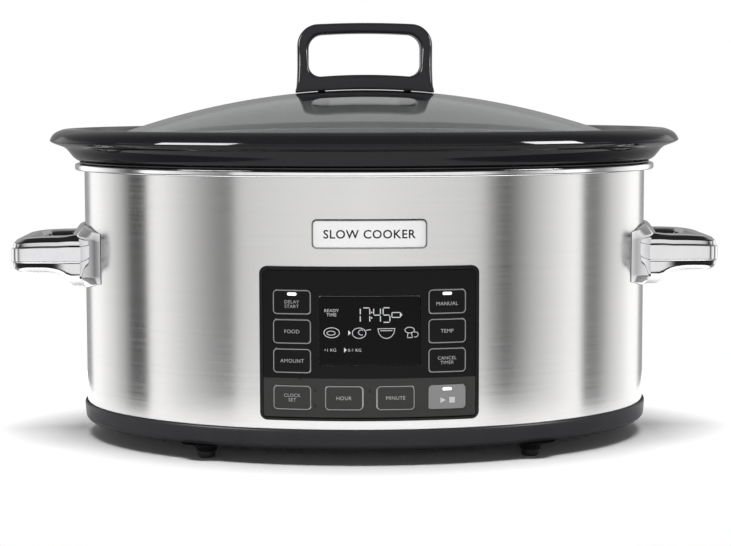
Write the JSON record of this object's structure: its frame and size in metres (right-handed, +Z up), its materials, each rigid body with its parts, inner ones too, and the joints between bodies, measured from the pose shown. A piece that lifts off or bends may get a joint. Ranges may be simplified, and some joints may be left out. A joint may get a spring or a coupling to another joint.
{
  "type": "slow cooker",
  "caption": "Oval slow cooker with a brushed steel heating base, digital key panel, black stoneware bowl and a domed glass lid with a loop handle.",
  "frame": {"origin": "on the table under the middle of the base, at the level of the feet's undersides", "axes": "+Z up, -Y towards the control panel, +X along the length towards the right handle"},
  "size_m": [0.4534, 0.29, 0.266],
  "materials": {
    "steel_wrap": "horizontally brushed",
    "polished_ring": "polished",
    "base_plastic": "satin",
    "galvanised": "galvanised sheet",
    "foot_rubber": "matt",
    "gland_rubber": "matt",
    "fastener": "zinc plated",
    "lid_fastener": "black capped screw",
    "well_enamel": "semi-gloss grey paint",
    "heater_wrap": "woven glass sleeve",
    "bright_shield": "bright sheet",
    "plated_handle": "dark plated",
    "bezel_gloss": "piano black",
    "panel_film": "satin film",
    "key_cap": "satin, outlined",
    "lamp_lens": "milky",
    "smoked_window": "smoked, clear",
    "display_module": "dark display",
    "circuit_board": "green laminate",
    "badge_metal": "satin silver",
    "transformer_core": "lacquered",
    "white_plastic": "moulded",
    "fuse_metal": "bare",
    "probe_steel": "turned",
    "black_glaze": "deep gloss",
    "lid_glass": "clear, tempered",
    "handle_gloss": "gloss",
    "pad_rubber": "matt"
  },
  "bodies": {
    "housing": {"outer_wrap": "steel_wrap", "rim_ring": "polished_ring", "base_tray": "base_plastic", "control_box": "base_plastic", "base_cover": "galvanised", "tie_bracket": "galvanised", "foot_front_left": "foot_rubber", "foot_front_right": "foot_rubber", "foot_rear_left": "foot_rubber", "foot_rear_right": "foot_rubber", "cord_gland": "gland_rubber", "handle_screw_left_front": "fastener", "handle_screw_left_rear": "fastener", "handle_screw_right_front": "fastener", "handle_screw_right_rear": "fastener", "cover_screw_1": "fastener", "cover_screw_2": "fastener", "cover_screw_3": "fastener", "cover_screw_4": "fastener", "tie_bolt": "fastener", "heating_well": "well_enamel", "heater_band": "heater_wrap", "heat_shield": "bright_shield", "handle_left": "plated_handle", "handle_right": "plated_handle", "panel_bezel": "bezel_gloss", "panel_fascia": "panel_film", "display_window": "smoked_window", "lcd_module": "display_module", "control_board": "circuit_board", "power_board": "circuit_board", "badge_plate": "badge_metal", "transformer": "transformer_core", "relay": "white_plastic", "terminal_block": "white_plastic", "thermal_fuse": "fuse_metal", "sensor_probe": "probe_steel"},
    "bowl": {"stoneware_bowl": "black_glaze"},
    "lid": {"glass_lid": "lid_glass", "lid_handle": "handle_gloss", "lid_pad": "pad_rubber", "lid_screw_left": "lid_fastener", "lid_screw_right": "lid_fastener"},
    "key_delay": {"key_delay": "key_cap", "lamp_delay": "lamp_lens"},
    "key_food": {"key_food": "key_cap"},
    "key_amount": {"key_amount": "key_cap"},
    "key_manual": {"key_manual": "key_cap", "lamp_manual": "lamp_lens"},
    "key_temp": {"key_temp": "key_cap"},
    "key_cancel": {"key_cancel": "key_cap"},
    "key_clock": {"key_clock": "key_cap"},
    "key_hour": {"key_hour": "key_cap"},
    "key_minute": {"key_minute": "key_cap"},
    "key_start": {"key_start": "key_cap", "lamp_start": "lamp_lens"}
  },
  "joints": [
    {"name": "bowl_lift", "type": "slide", "parent": "housing", "child": "bowl", "axis": [0, 0, 1], "range_m": [0, 0.16]},
    {"name": "lid_lift", "type": "slide", "parent": "bowl", "child": "lid", "axis": [0, 0, 1], "range_m": [0, 0.1]},
    {"name": "press_delay", "type": "slide", "parent": "housing", "child": "key_delay", "axis": [0, 1, 0], "range_m": [0, 0.0005], "stiffness_N_per_m": 800},
    {"name": "press_food", "type": "slide", "parent": "housing", "child": "key_food", "axis": [0, 1, 0], "range_m": [0, 0.0005], "stiffness_N_per_m": 800},
    {"name": "press_amount", "type": "slide", "parent": "housing", "child": "key_amount", "axis": [0, 1, 0], "range_m": [0, 0.0005], "stiffness_N_per_m": 800},
    {"name": "press_manual", "type": "slide", "parent": "housing", "child": "key_manual", "axis": [0, 1, 0], "range_m": [0, 0.0005], "stiffness_N_per_m": 800},
    {"name": "press_temp", "type": "slide", "parent": "housing", "child": "key_temp", "axis": [0, 1, 0], "range_m": [0, 0.0005], "stiffness_N_per_m": 800},
    {"name": "press_cancel", "type": "slide", "parent": "housing", "child": "key_cancel", "axis": [0, 1, 0], "range_m": [0, 0.0005], "stiffness_N_per_m": 800},
    {"name": "press_clock", "type": "slide", "parent": "housing", "child": "key_clock", "axis": [0, 1, 0], "range_m": [0, 0.0005], "stiffness_N_per_m": 800},
    {"name": "press_hour", "type": "slide", "parent": "housing", "child": "key_hour", "axis": [0, 1, 0], "range_m": [0, 0.0005], "stiffness_N_per_m": 800},
    {"name": "press_minute", "type": "slide", "parent": "housing", "child": "key_minute", "axis": [0, 1, 0], "range_m": [0, 0.0005], "stiffness_N_per_m": 800},
    {"name": "press_start", "type": "slide", "parent": "housing", "child": "key_start", "axis": [0, 1, 0], "range_m": [0, 0.0005], "stiffness_N_per_m": 800}
  ]
}
